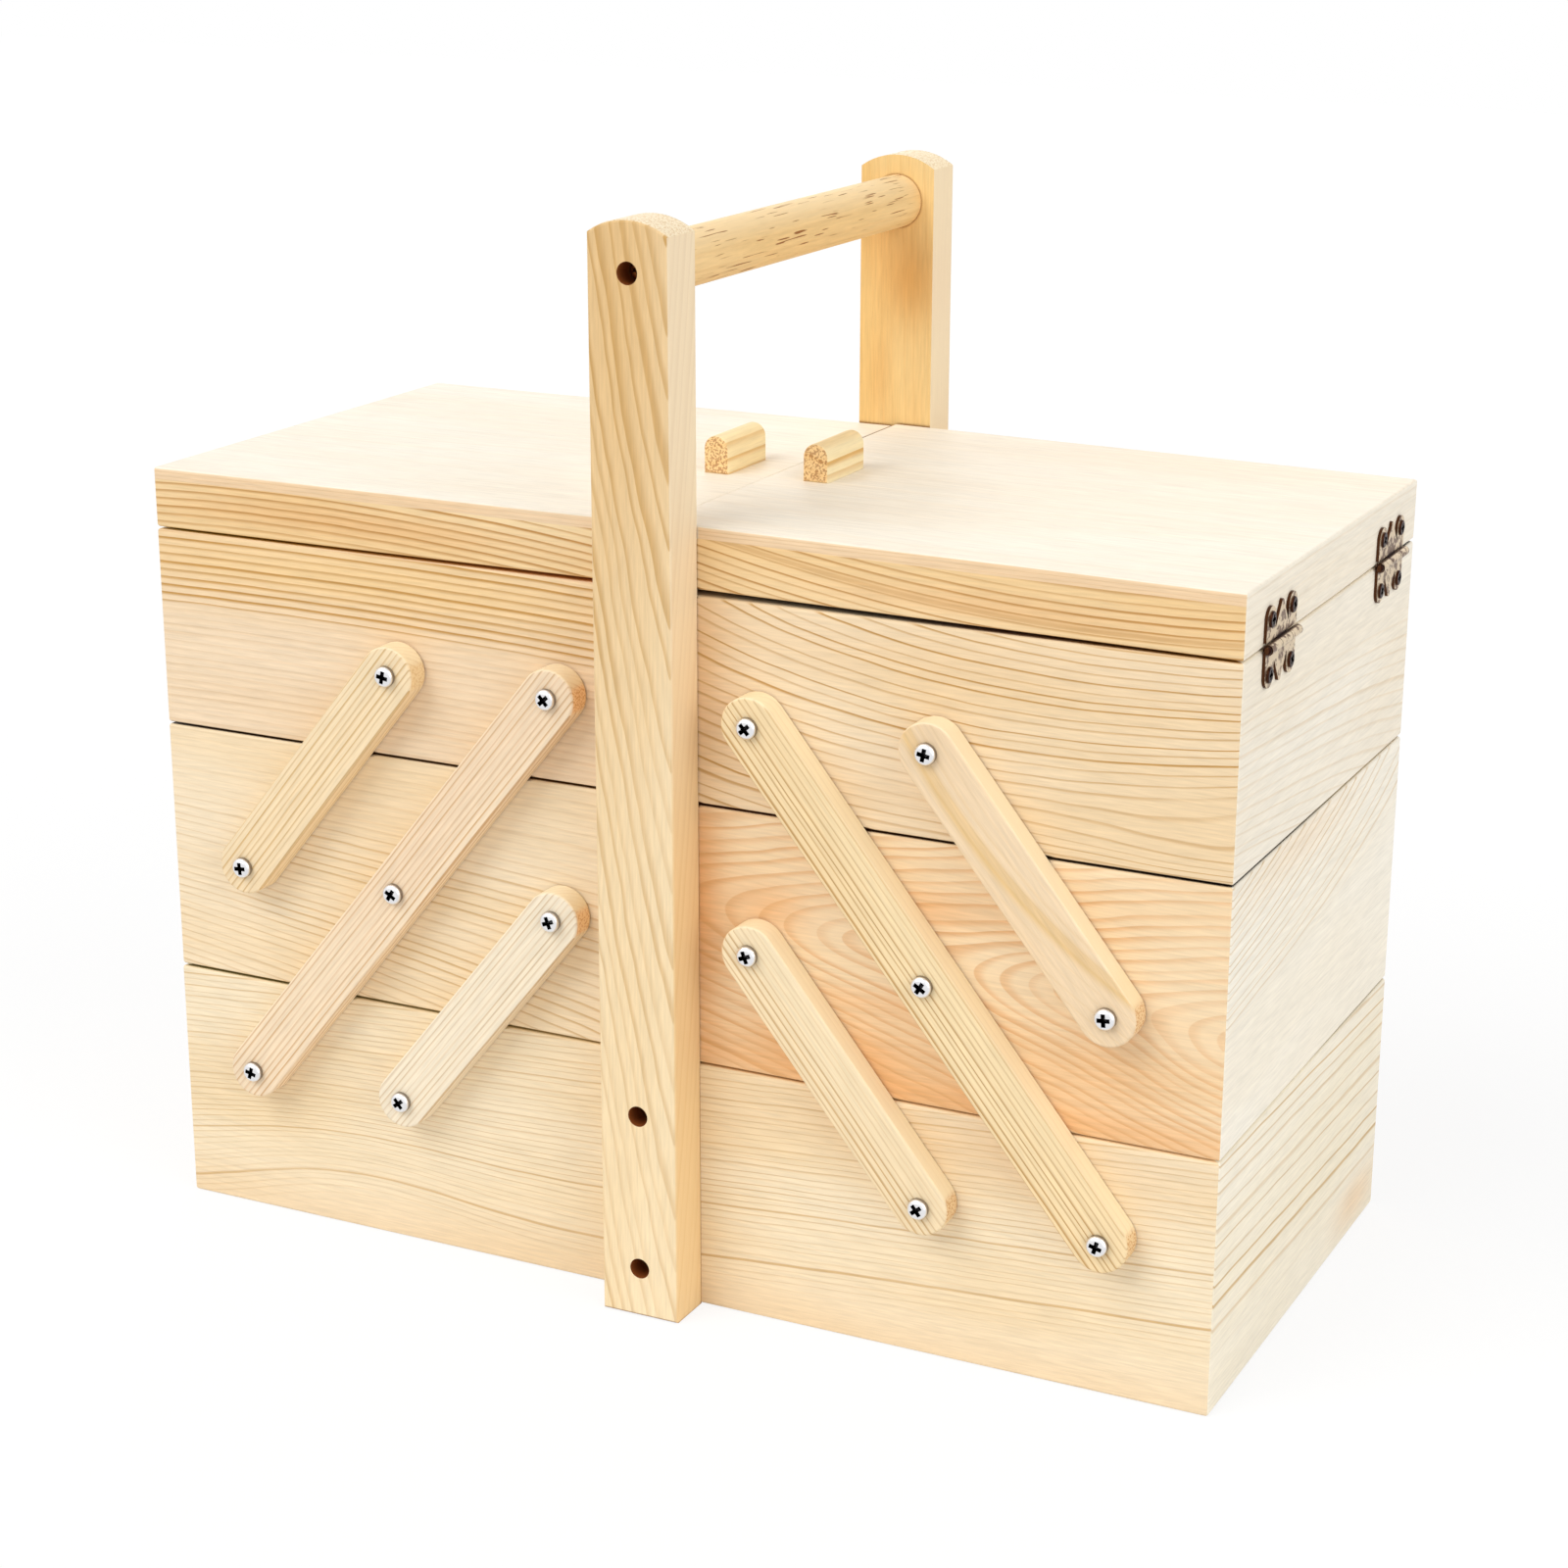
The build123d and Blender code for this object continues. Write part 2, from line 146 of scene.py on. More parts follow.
def scaled(tree, colour, factor):
    """A colour made lighter or darker by a factor."""
    node = tree.nodes.new("ShaderNodeVectorMath")
    node.operation = "SCALE"
    plug(tree, node.inputs[0], colour)
    plug(tree, node.inputs["Scale"], factor)
    return Signal(tree, node.outputs[0])


def shown(red, green, blue):
    """A colour given as it looks on screen, from 0 to 255, as linear RGBA by the sRGB curve."""
    linear = [
        level / 255 / 12.92 if level < 11 else ((level / 255 + 0.055) / 1.055) ** 2.4
        for level in (red, green, blue)
    ]
    return (*linear, 1.0)


def new_material(name):
    """A material with a Principled shader: its tree and its shader node."""
    material = bpy.data.materials.new(name)
    material.use_nodes = True
    return material, material.node_tree, material.node_tree.nodes["Principled BSDF"]


def tone_along(tree, along, stops):
    """A colour that changes along a board through stops of (millimetres, colour)."""
    ramp = tree.nodes.new("ShaderNodeValToRGB")
    elements = ramp.color_ramp.elements
    while len(elements) < len(stops):
        elements.new(1.0)
    for element, (place, colour) in zip(elements, stops):
        element.position = 0.5 + place / RAMP_LENGTH
        element.color = colour
    plug(tree, ramp.inputs["Fac"], along / RAMP_LENGTH + 0.5)
    return Signal(tree, ramp.outputs["Color"])


def shade_edges(tree, colour, plain, along, low, high):
    """Evens a board's lower and upper edges out, and tints them with painted shade, in places painted
    light, where the next board is close.

    Plain is the colour of a bare edge. Low and high are stops of the tones along those edges
    where they meet the next board, or None for an edge that meets none.
    """
    upward = coordinates(tree, "Normal")[2]
    colour = blend(tree, abs(upward).step(0.5, 0.8) * EDGE_EVENNESS, colour, plain)
    # painted shade: edges that other boards crowd closely, found by ambient occlusion
    painted_shade_near = (openness(tree, SEAM_REACH, own_only=False) + upward * 0.2).step(0.8, 0.5)
    for stops, way in ((low, -1), (high, 1)):
        if stops is not None:
            share = painted_shade_near * upward.step(way * 0.15, way * 0.5)
            colour = blend(tree, share, colour, tone_along(tree, along, stops))
    return colour


def set_material(node_name, material):
    mesh = nodes[node_name].data
    mesh.materials.clear()
    mesh.materials.append(material)


# ---------------------------------------------------------------- pine
class Grain(NamedTuple):
    """How one board's growth rings meet its faces. Lengths are in millimetres.

    The rings are tubes round a pith that runs along the board, which they follow in cones.
    A spot is (along, across, reach along, reach across, amount).
    """

    start: float = 0.0             # place along the board that slope, bow, fan and taper count from
    slope: float = 0.0             # rise of the rings over the width, per mm along the board
    bow: float = 0.0               # change of the slope, per mm along
    fan: float = 0.0               # change of the slope, per mm across
    fan_from: float = 0.0          # place across where the fan adds nothing
    pith_across: float = -300.0    # place of the pith over the width
    pith_depth: float = 20.0       # added to the place through the board to count from the pith
    taper: float = 0.0             # growth of the rings' radius per mm along
    spacing: float = 3.2
    warp: float = 1.5              # slow waves
    ripple: float = 0.4            # short waves
    uneven: float = 1.2            # how much the rings differ in width
    width: float = 0.14            # share of a ring that is dark late wood
    contrast: float = 0.6
    zones: tuple = ()              # (nothing here, full here, contrast left over) across the board
    eyes: tuple = ()               # spots that raise the rings by the amount
    calms: tuple = ()              # spots where the rings fade by the amount, up to 1
    bands: tuple = ()              # (across at start, half width, amount): single broad lines
    blushes: tuple = ()            # spots of the blush colour
    pale: tuple = shown(247, 224, 190)
    warm: tuple = shown(244, 212, 168)
    line: tuple = shown(212, 164, 102)
    blush: tuple = shown(233, 184, 128)
    end: tuple = shown(236, 206, 158)     # end grain
    pore: tuple = shown(214, 172, 116)    # spots in the end grain
    seed: float = 0.0


# Cells of the noises in pine: millimetres along the board, and across and through it.
SLOW_WAVES = (110, 50)
SHORT_WAVES = (22, 9)
PATCHES = (60, 25)
TONES = (140, 30)
STREAKS = (80, 2.2)
FIBRES = (13, 0.85)
PORES = (0.65, 0.65)

STREAK_STRENGTH = 0.12
FIBRE_STRENGTH = 0.33
LATE_WOOD_END = 0.9            # share of a ring at which its dark line is darkest
RINGS_IN_A_WAVE = 1.7          # how soon wide rings follow on narrow ones
WOOD_ROUGHNESS = 0.62
WOOD_SPECULAR = 0.2
RELIEF = 0.05                  # height of lines and fibres in millimetres


def board_noise(tree, place, cell, shift, detail=2.0, roughness=0.5):
    """Noise at a place (along, across, depth) of a board. The shift is a number of cells."""
    lengths = (cell[0], cell[1], cell[1])
    point = (part / length + moved for part, length, moved in zip(place, lengths, shift))
    return noise(tree, *point, detail, roughness)


def bell(along, across, spot):
    """1 at a spot's centre, falling to 0 outside its reach."""
    middle_along, middle_across, reach_along, reach_across = spot[:4]
    a = (along - middle_along) / reach_along
    b = (across - middle_across) / reach_across
    return (a * a + b * b).math("MULTIPLY", -1).math("EXPONENT")


def ring_radius(tree, along, across, depth, grain):
    """Distance from the pith as the rings count it, and the height of the flow line."""
    place = (along, across, depth)
    slow = board_noise(tree, place, SLOW_WAVES, (grain.seed, 0, 0), 1.0) - 0.5
    short = board_noise(tree, place, SHORT_WAVES, (0, grain.seed, 0), 1.0) - 0.5
    run = along - grain.start
    slope = run * grain.bow + grain.slope
    if grain.fan:
        slope = slope + (across - grain.fan_from) * grain.fan
    flow = across - run * slope + slow * (grain.warp * 2) + short * (grain.ripple * 2)
    offset = flow - grain.pith_across
    reach = depth + grain.pith_depth
    radius = (offset * offset + reach * reach).math("SQRT")
    if grain.taper:
        radius = radius - run * grain.taper
    for spot in grain.eyes:
        raised = bell(along, across, spot) * spot[4]
        radius = radius - raised
        flow = flow - raised
    return radius, flow


def pine_grain(tree, along, across, depth, grain, end=None):
    """Colour of sawn pine at a point of the board, and its ring lines and fibres for relief.

    End is 1 where the surface cuts across the board, or None for a board that shows no end.
    """
    place = (along, across, depth)
    seed = grain.seed
    radius, flow = ring_radius(tree, along, across, depth, grain)
    phase = radius / grain.spacing
    uneven = noise(tree, phase / RINGS_IN_A_WAVE + seed * 3, 0.0, 0.0, 1.0) - 0.5
    phase = phase + uneven * grain.uneven
    part = phase.math("FRACT")
    line = part.step(LATE_WOOD_END - grain.width * 1.7, LATE_WOOD_END) * part.step(1.0, 0.94)
    strength = phase.math("FLOOR").hashed(seed) * 0.6 + 0.55
    patch = board_noise(tree, place, PATCHES, (0, seed, 0))
    strength = strength * (patch * 0.9 + 0.55)
    for nothing, full, left_over in grain.zones:
        strength = strength * (flow.step(nothing, full) * (1 - left_over) + left_over)
    for spot in grain.calms:
        strength = strength * (1 - bell(along, across, spot) * spot[4])
    tone = board_noise(tree, place, TONES, (seed, 0, 0))
    colour = blend(tree, tone.step(0.3, 0.7), grain.pale, grain.warm)
    for spot in grain.blushes:
        colour = blend(tree, bell(along, across, spot) * spot[4], colour, grain.blush)
    dark = (line * strength * grain.contrast).math("MINIMUM", 1.0)
    colour = blend(tree, dark, colour, grain.line)
    for middle, half_width, amount in grain.bands:
        band = abs(flow - middle).step(half_width, half_width * 0.3) * (patch * 0.8 + 0.6)
        colour = blend(tree, band * amount, colour, grain.line)
    streaks = board_noise(tree, place, STREAKS, (0, seed, 0)) - 0.5
    fibres = board_noise(tree, place, FIBRES, (0, 0, seed), roughness=0.65) - 0.5
    colour = scaled(tree, colour, streaks * STREAK_STRENGTH + fibres * FIBRE_STRENGTH + 1)
    if end is not None:
        pores = board_noise(tree, place, PORES, (0, 0, 0), 1.0).step(0.48, 0.58)
        cut = blend(tree, pores * 0.8, grain.end, grain.pore)
        colour = blend(tree, end * 0.85, colour, cut)
    return colour, line, fibres


def finish_wood(tree, shader, colour, line, fibres):
    plug(tree, shader.inputs["Base Color"], colour)
    shader.inputs["Roughness"].default_value = WOOD_ROUGHNESS
    shader.inputs["Specular IOR Level"].default_value = WOOD_SPECULAR
    bump = tree.nodes.new("ShaderNodeBump")
    plug(tree, bump.inputs["Height"], line * -0.5 + fibres * 0.8)
    bump.inputs["Distance"].default_value = RELIEF / MM
    tree.links.new(bump.outputs[0], shader.inputs["Normal"])


def pine_board(name, axes, grain, has_end=False, seam_shades=None, mirrored=False):
    """A board's material. Axes are the numbers of the coordinates along, across and through it.

    Seam shades are the painted tones along the lower and the upper edge, as in shade_edges.
    A mirrored board's rings lie behind the middle as they would in front of it.
    """
    material, tree, shader = new_material(name)
    place = coordinates(tree, "Object", MM)
    along, across, depth = (place[axis] for axis in axes)
    if mirrored:
        depth = depth * -1
    end = abs(coordinates(tree, "Normal")[axes[0]]).step(0.6, 0.9) if has_end else None
    colour, line, fibres = pine_grain(tree, along, across, depth, grain, end)
    if seam_shades is not None:
        colour = shade_edges(tree, colour, grain.warm, along, *seam_shades)
    finish_wood(tree, shader, colour, line, fibres)
    return material


def mixed_grain(tree, share, first, second):
    """Colour, line and fibres of two grains, mixed."""
    colour = blend(tree, share, first[0], second[0])
    line, fibres = (low + (high - low) * share for low, high in zip(first[1:], second[1:]))
    return colour, line, fibres


LENGTHWISE = (0, 2, 1)         # boards along X, seen from the front or back
CROSSWISE = (1, 2, 0)          # boards along Y, seen from an end
FLAT = (0, 1, 2)               # lid panels and floors
DEEP = (1, 0, 2)               # dowel and knobs, along Y

PAINTED_LIGHT_ENDS = dict(               # painted light: paler colours for the ends of the boxes, as the lit right end shows
    pale=shown(247, 239, 223),
    warm=shown(245, 234, 214),
    line=shown(214, 183, 136),
    blush=shown(243, 208, 166),
)

wall_grains = {
    "base_front_wall": Grain(
        start=-20, slope=0.07, spacing=2.2, contrast=0.55, warp=1.2, zones=((2, 12, 0.0), (18, 40, 0.5)),
        bands=((15.5, 0.6, 0.65), (34, 0.6, 0.4)), eyes=((-122, 15, 58, 30, 12),), seed=1.3,
        blushes=((0, 0, 400, 16, 0.55), (115, 76, 80, 15, 0.7)), blush=shown(236, 205, 164),
        pale=shown(245, 228, 197), warm=shown(242, 219, 180), line=shown(204, 162, 100)),
    "left_middle_tray_front_wall": Grain(
        start=-100, slope=-0.18, fan=0.0022, fan_from=90, spacing=3.2, contrast=0.65, warp=1.6,
        zones=((156, 132, 0.25),), seed=2.1, blushes=((-105, 140, 25, 34, 0.3),),
        calms=((-175, 125, 22, 40, 0.6),),
        pale=shown(245, 226, 195), warm=shown(243, 219, 181), blush=shown(240, 208, 160),
        line=shown(207, 166, 106)),
    "left_top_tray_front_wall": Grain(
        start=-150, bow=-0.00018, spacing=2.7, contrast=1.05, warp=0.6, ripple=0.25, width=0.27,
        uneven=0.6, zones=((215.5, 217.0, 0.2),), seed=3.7, blushes=((-110, 232, 160, 13, 0.8),),
        pale=shown(242, 218, 186), warm=shown(239, 212, 177), blush=shown(243, 206, 146),
        line=shown(198, 150, 84)),
    "right_middle_tray_front_wall": Grain(
        start=115, slope=-0.08, pith_across=133, pith_depth=101.5, taper=0.22, spacing=3.4,
        contrast=0.62, warp=2.8, ripple=1.0, width=0.3,
        eyes=((192, 120, 32, 20, 9), (140, 133, 26, 11, 6), (68, 137, 26, 10, 5)),
        # The first blush, beside the front post, is painted shade of the post.
        blushes=((12, 140, 10, 50, 0.9), (40, 143, 14, 9, 0.6), (95, 151, 18, 6, 0.5),
                 (75, 117, 34, 5, 0.4), (150, 106, 28, 14, 0.4), (110, 89, 120, 7, 0.8),
                 (62, 98, 34, 12, 0.85)),
        calms=((55, 139, 26, 10, 0.5), (125, 133, 14, 8, 0.3), (180, 140, 24, 42, 0.5)),
        seed=4.9, pale=shown(245, 220, 182), warm=shown(241, 210, 167), line=shown(220, 162, 102),
        blush=shown(237, 178, 118)),
    "right_top_tray_front_wall": Grain(
        start=138, bow=0.00104, fan=-0.0024, fan_from=220, spacing=2.9, contrast=0.95, warp=0.8,
        ripple=0.4, width=0.12, eyes=((215, 180, 70, 14, -17),),
        calms=((80, 187, 32, 12, 0.7), (180, 197, 20, 6, 0.8), (150, 182, 60, 12, 0.35)),
        # The first blush, beside the front post, is painted shade of the post.
        blushes=((12, 215, 14, 40, 0.6), (60, 186, 40, 10, 0.15), (90, 230, 110, 11, 0.12)),
        seed=5.3, pale=shown(242, 220, 186), warm=shown(238, 211, 170), line=shown(196, 150, 86)),
    # The right end walls take the painted light of the ends, two of them paler still.
    "base_right_wall": Grain(
        slope=-0.035, pith_across=0, pith_depth=-150, spacing=4.8, contrast=0.85, warp=1.0, width=0.08,
        zones=((15, 26, 0.0),), blushes=((65, 11, 22, 8, 0.6),), seed=6.4,
        **(PAINTED_LIGHT_ENDS | dict(pale=shown(249, 240, 221), warm=shown(247, 236, 212)))),
    "right_middle_tray_outer_wall": Grain(
        slope=0.17, fan=0.004, fan_from=142, spacing=3.6, contrast=0.75, warp=1.5, width=0.1,
        zones=((130, 142, 0.0),), blushes=((-20, 168, 50, 8, 0.3),), seed=7.7,
        **(PAINTED_LIGHT_ENDS | dict(pale=shown(250, 243, 228), warm=shown(249, 240, 222)))),
    "right_top_tray_outer_wall": Grain(
        slope=-0.08, fan=0.002, fan_from=215, spacing=3.6, contrast=0.35, warp=1.5,
        zones=((228, 212, 0.0),), seed=8.2, **PAINTED_LIGHT_ENDS),
}
PLAIN_WALL = Grain(slope=0.03, spacing=4.0, warp=2.5)


class SeamShade(NamedTuple):
    """Painted shade of a seam between two tiers, in places painted light, as stops of (millimetres,
    colour).
    """

    long: tuple                    # along X, on the front and back walls
    end: tuple                     # along Y, on the end walls


# Painted shade in the seams between the tiers; along the base seam it is in places painted light,
# lighter than the wood.
LID_SEAM_SHADE = SeamShade(
    long=((-190, shown(200, 160, 60)), (-20, shown(225, 152, 55)), (20, shown(30, 0, 0)),
          (70, shown(36, 2, 0)), (110, shown(110, 40, 0)), (190, shown(185, 130, 40))),
    end=((-80, shown(250, 240, 220)), (50, shown(250, 240, 220)), (72, shown(30, 20, 12))),
)
TRAY_SEAM_SHADE = SeamShade(
    long=((-190, shown(52, 24, 0)), (-20, shown(130, 80, 10)), (20, shown(104, 44, 0)),
          (110, shown(70, 40, 0)), (190, shown(30, 8, 0))),
    end=((-80, shown(10, 4, 0)), (-20, shown(76, 60, 14)), (30, shown(205, 185, 145)),
         (80, shown(205, 188, 158))),
)
BASE_SEAM_LIGHT_AND_SHADE = SeamShade(
    long=((-190, shown(140, 118, 40)), (-20, shown(232, 205, 150)), (20, shown(240, 200, 145)),
          (190, shown(255, 228, 188))),
    end=((-80, shown(250, 242, 224)), (0, shown(250, 242, 224)), (30, shown(205, 196, 172)),
         (80, shown(195, 186, 164))),
)

wall_seam_shades = {                 # at the lower and the upper edge
    "base": (None, BASE_SEAM_LIGHT_AND_SHADE),
    "middle": (BASE_SEAM_LIGHT_AND_SHADE, TRAY_SEAM_SHADE),
    "top": (TRAY_SEAM_SHADE, LID_SEAM_SHADE),
}


def dress_walls():
    """Materials of all walls. Back walls have grain like the front ones, and others a plain one."""
    seed = 20.0
    for name in sorted(nodes):
        if not name.endswith("_wall"):
            continue
        seed += 1.7
        mirrored = name.endswith("back_wall")
        lengthwise = mirrored or name.endswith("front_wall")
        if mirrored:
            grain = wall_grains[name.replace("back", "front")]._replace(seed=seed)
        else:
            grain = wall_grains.get(name, PLAIN_WALL._replace(seed=seed))
        axes = LENGTHWISE if lengthwise else CROSSWISE
        level = next(word for word in wall_seam_shades if word in name)
        seam_shades = [seam and (seam.long if lengthwise else seam.end) for seam in wall_seam_shades[level]]
        set_material(name, pine_board(name, axes, grain, seam_shades=seam_shades, mirrored=mirrored))


# ---------------------------------------------------------------- lids
MEETING_SHADE = shown(120, 86, 38)      # painted shade: a thin dark strip on top of the panels where they meet, towards the back
MEETING_SHADE_HALF_WIDTH = 1.3
PANEL_REACH = 1.6              # millimetres within which the other lid paints shade on a panel's side
PANEL_SEAM_SHADE = (                 # painted shade where the two panels meet, as stops along Y
    (-80, shown(236, 222, 196)), (0, shown(236, 222, 196)), (50, shown(110, 76, 30)),
    (88, shown(60, 36, 8)),
)
LID_WOOD = dict(pale=shown(245, 219, 173), warm=shown(238, 202, 147), line=shown(196, 146, 84))

lid_grains = {
    "left": Grain(start=-150, bow=-0.00047, spacing=2.6, contrast=1.0, warp=0.5, ripple=0.25,
                  width=0.24, uneven=0.8, blushes=((-110, 250, 70, 5, 0.6),), seed=11.2, **LID_WOOD),
    "right": Grain(start=155, bow=0.0008, spacing=2.7, contrast=0.9, uneven=0.9, warp=0.5, ripple=0.25,
                   width=0.18, bands=((244.8, 1.2, 0.5),), blushes=((110, 248, 60, 5, 0.6),), seed=12.9,
                   **LID_WOOD),
}

panel_blushes = {"left": (), "right": ((125, 70, 75, 50, 0.6),)}      # spots, as in Grain


def lid_frame_material(name, long_grain):
    """Rails along X at the front and back, and along Y at the ends, mitred at the corners."""
    material, tree, shader = new_material(name)
    x, y, z = coordinates(tree, "Object", MM)
    to_face = half_depth - abs(y)
    to_end = (half_length - abs(x)).math("MINIMUM", abs(x))
    is_end = (to_face - to_end).step(-0.05, 0.05)
    # painted light: the end rails take the paler colours of the ends
    end_grain = Grain(contrast=0.12, seed=13.1, **PAINTED_LIGHT_ENDS)
    first, second = (
        (shade_edges(tree, colour, grain.warm, along, tones, None), line, fibres)
        for grain, along, tones, (colour, line, fibres) in (
            (long_grain, x, LID_SEAM_SHADE.long, pine_grain(tree, x, z, y, long_grain)),
            (end_grain, y, LID_SEAM_SHADE.end, pine_grain(tree, y, z, x, end_grain)),
        )
    )
    finish_wood(tree, shader, *mixed_grain(tree, is_end, first, second))
    return material


def lid_panel_material(name, seed, blushes):
    """A pale sheet with darker sawn edges along the front and back, and painted shade where the lids
    meet.
    """
    material, tree, shader = new_material(name)
    x, y, z = coordinates(tree, "Object", MM)
    normal = coordinates(tree, "Normal")
    sheet = Grain(spacing=7.0, contrast=0.1, pith_across=-260, warp=8.0, ripple=1.5, seed=seed,
                  blushes=blushes, blush=shown(246, 227, 202),
                  pale=shown(248, 240, 224), warm=shown(247, 236, 217), line=shown(238, 217, 182))
    edge = Grain(spacing=1.3, contrast=0.4, warp=0.3, ripple=0.1, seed=seed + 1,
                 pale=shown(242, 216, 182), warm=shown(238, 206, 166), line=shown(212, 168, 112))
    # painted light: the panels' ends take the paler colours of the ends
    hatch = Grain(contrast=0.2, seed=seed + 2, **PAINTED_LIGHT_ENDS)
    sides = mixed_grain(
        tree,
        abs(normal[0]).step(0.5, 0.8),
        pine_grain(tree, x, z, y, edge),
        pine_grain(tree, y, z, x, hatch),
    )
    top = pine_grain(tree, x, y, z, sheet)
    is_top = abs(normal[2]).step(0.4, 0.7)
    colour, line, fibres = mixed_grain(tree, is_top, sides, top)
    # painted shade: a dark strip where the lids meet, and shade where the other lid is close
    meeting_shade = is_top * abs(x).step(MEETING_SHADE_HALF_WIDTH, 0.7) * y.step(0, 70) * 0.9
    colour = blend(tree, meeting_shade, colour, MEETING_SHADE)
    painted_shade_near = openness(tree, PANEL_REACH, own_only=False).step(0.8, 0.45)
    colour = blend(tree, painted_shade_near, colour, tone_along(tree, y, PANEL_SEAM_SHADE))
    finish_wood(tree, shader, colour, line, fibres)
    return material


def dress_lids():
    for side, grain in lid_grains.items():
        frame_name = f"{side}_lid_frame"
        panel_name = f"{side}_lid_panel"
        set_material(frame_name, lid_frame_material(frame_name, grain))
        blushes = panel_blushes[side]
        set_material(panel_name, lid_panel_material(panel_name, grain.seed + 3, blushes))


# ---------------------------------------------------------------- arms
ARM_WOOD = dict(pith_across=-60, pith_depth=130, warp=0.5, ripple=0.1, pore=shown(196, 132, 72))
arm_grains = {
    "right_long": Grain(spacing=1.8, contrast=1.1, width=0.2, seed=61.3, zones=((-6, 2, 0.5),),
                        pale=shown(245, 222, 178), warm=shown(241, 213, 166),
                        line=shown(196, 156, 100), **ARM_WOOD),
    "right_lower": Grain(spacing=1.9, contrast=0.85, width=0.2, seed=63.1, zones=((-6, 2, 0.35),),
                         pale=shown(245, 225, 188), warm=shown(241, 217, 177),
                         line=shown(204, 166, 112), **ARM_WOOD),
    "right_upper": Grain(slope=0.138, bow=-0.0024, spacing=3.0, contrast=0.15, seed=65.2,
                         bands=((1.8, 3.8, 0.5), (2.6, 1.0, 0.25)), pale=shown(241, 216, 181),
                         warm=shown(238, 208, 168), line=shown(224, 184, 116), **ARM_WOOD),
    "left_upper": Grain(spacing=1.8, contrast=0.75, width=0.2, seed=67.4, pale=shown(246, 226, 190),
                        warm=shown(243, 218, 178), line=shown(208, 168, 108),
                        **(ARM_WOOD | dict(end=shown(240, 214, 168), pore=shown(222, 186, 134)))),
    "left_long": Grain(spacing=1.7, contrast=0.85, width=0.2, seed=69.8, calms=((0, 0, 300, 3, 0.6),),
                       pale=shown(244, 222, 191), warm=shown(242, 216, 184), line=shown(208, 164, 114),
                       end=shown(252, 212, 162), **(ARM_WOOD | dict(pore=shown(214, 154, 94)))),
    "left_lower": Grain(spacing=1.7, contrast=0.7, width=0.2, seed=71.2, pale=shown(247, 234, 210),
                        warm=shown(244, 229, 203), line=shown(212, 182, 140),
                        end=shown(252, 218, 174), **(ARM_WOOD | dict(pore=shown(220, 166, 110)))),
}
# Painted light: the arms' upward sides are made paler, as lit from above.
ARM_TOP_SIDE_PAINTED_LIGHT = shown(250, 233, 196)


def arm_material(name, grain, width):
    """Pine with its grain along the arm, which lies in a slanted line across its own box."""
    low, high = (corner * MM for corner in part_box(name))
    side = 1 if low.x > 0 else -1
    run = Vector((-side * (high.x - low.x - width), high.z - low.z - width)).normalized()
    middle = (low + high) / 2
    material, tree, shader = new_material(name)
    x, y, z = coordinates(tree, "Object", MM)
    from_x, from_z = x - middle.x, z - middle.z
    outwards = 1 if middle.y > 0 else -1
    along = from_x * run.x + from_z * run.y
    across = from_z * run.x - from_x * run.y
    normal = coordinates(tree, "Normal")
    end = abs(normal[0]).step(0.84, 0.96)          # where the round ends face left or right
    colour, line, fibres = pine_grain(tree, along, across, y * -outwards, grain, end)
    # painted light on the sides that face up
    colour = blend(tree, normal[2].step(0.3, 0.6) * 0.7, colour, ARM_TOP_SIDE_PAINTED_LIGHT)
    finish_wood(tree, shader, colour, line, fibres)
    return material


def dress_arms():
    upper_low, upper_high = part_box("right_upper_arm_front")
    long_low, long_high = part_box("right_long_arm_front")
    pitch = (long_high.x - long_low.x) - (upper_high.x - upper_low.x)
    width = (upper_high.x - upper_low.x - pitch) * MM
    for kind, grain in arm_grains.items():
        for face, extra in (("front", 0.0), ("back", 30.0)):
            name = f"{kind}_arm_{face}"
            set_material(name, arm_material(name, grain._replace(seed=grain.seed + extra), width))


# ---------------------------------------------------------------- posts and handle
post_grains = {
    "front_post": Grain(
        pith_across=32, pith_depth=-post_face + 30, taper=0.15, spacing=3.3, contrast=0.85,
        warp=2.8, ripple=1.1, uneven=1.3, seed=9.4, width=0.28, blushes=((352, -4, 165, 30, 0.95),),
        calms=((60, 0, 120, 60, 0.6), (190, 0, 60, 60, 0.3)),
        pale=shown(247, 228, 192), warm=shown(244, 220, 178), line=shown(200, 156, 92),
        blush=shown(226, 188, 132), end=shown(250, 236, 208), pore=shown(226, 196, 148)),
    "back_post": Grain(
        pith_across=30, pith_depth=-70, taper=0.03, spacing=3.5, contrast=0.14, warp=1.5,
        # The first two blushes, just under the dowel's end, are its painted shadow on the back post.
        blushes=((314, 5, 17, 12, 0.8), (330, -7, 14, 8, 0.45), (280, -6, 16, 5, 0.35),
                 (250, 8, 40, 4, 0.2)),
        blush=shown(220, 160, 86), seed=10.6, pale=shown(245, 213, 152), warm=shown(237, 197, 128),
        line=shown(208, 152, 82), end=shown(250, 236, 208), pore=shown(226, 196, 148)),
}
# Painted light and shade on the posts' narrow sides: paler than the faces as lit, and darker towards the
# foot.
POST_SIDE_SHADED_FOOT = shown(240, 205, 150)
POST_SIDE_LIT_TOP = shown(248, 230, 200)
POST_SIDE_HEIGHTS = (120, 300)         # where the sides' colour starts and ends to change
# Painted shade in the posts' holes and where other parts touch them.
HOLE_PAINTED_SHADE = shown(136, 72, 30)
HOLE_REACH = 8.0
CONTACT_PAINTED_SHADE = shown(150, 96, 48)
CONTACT_REACH = 1.6
# Painted light on the dowel's upper side.
DOWEL_TOP_PAINTED_LIGHT = shown(252, 230, 188)
DOWEL_PORE = shown(150, 92, 40)
DOWEL_PORE_CELL = (14, 0.55)           # cells as in pine, along and across
DOWEL_CROWD_CELL = (26, 7)             # patches that hold the pores


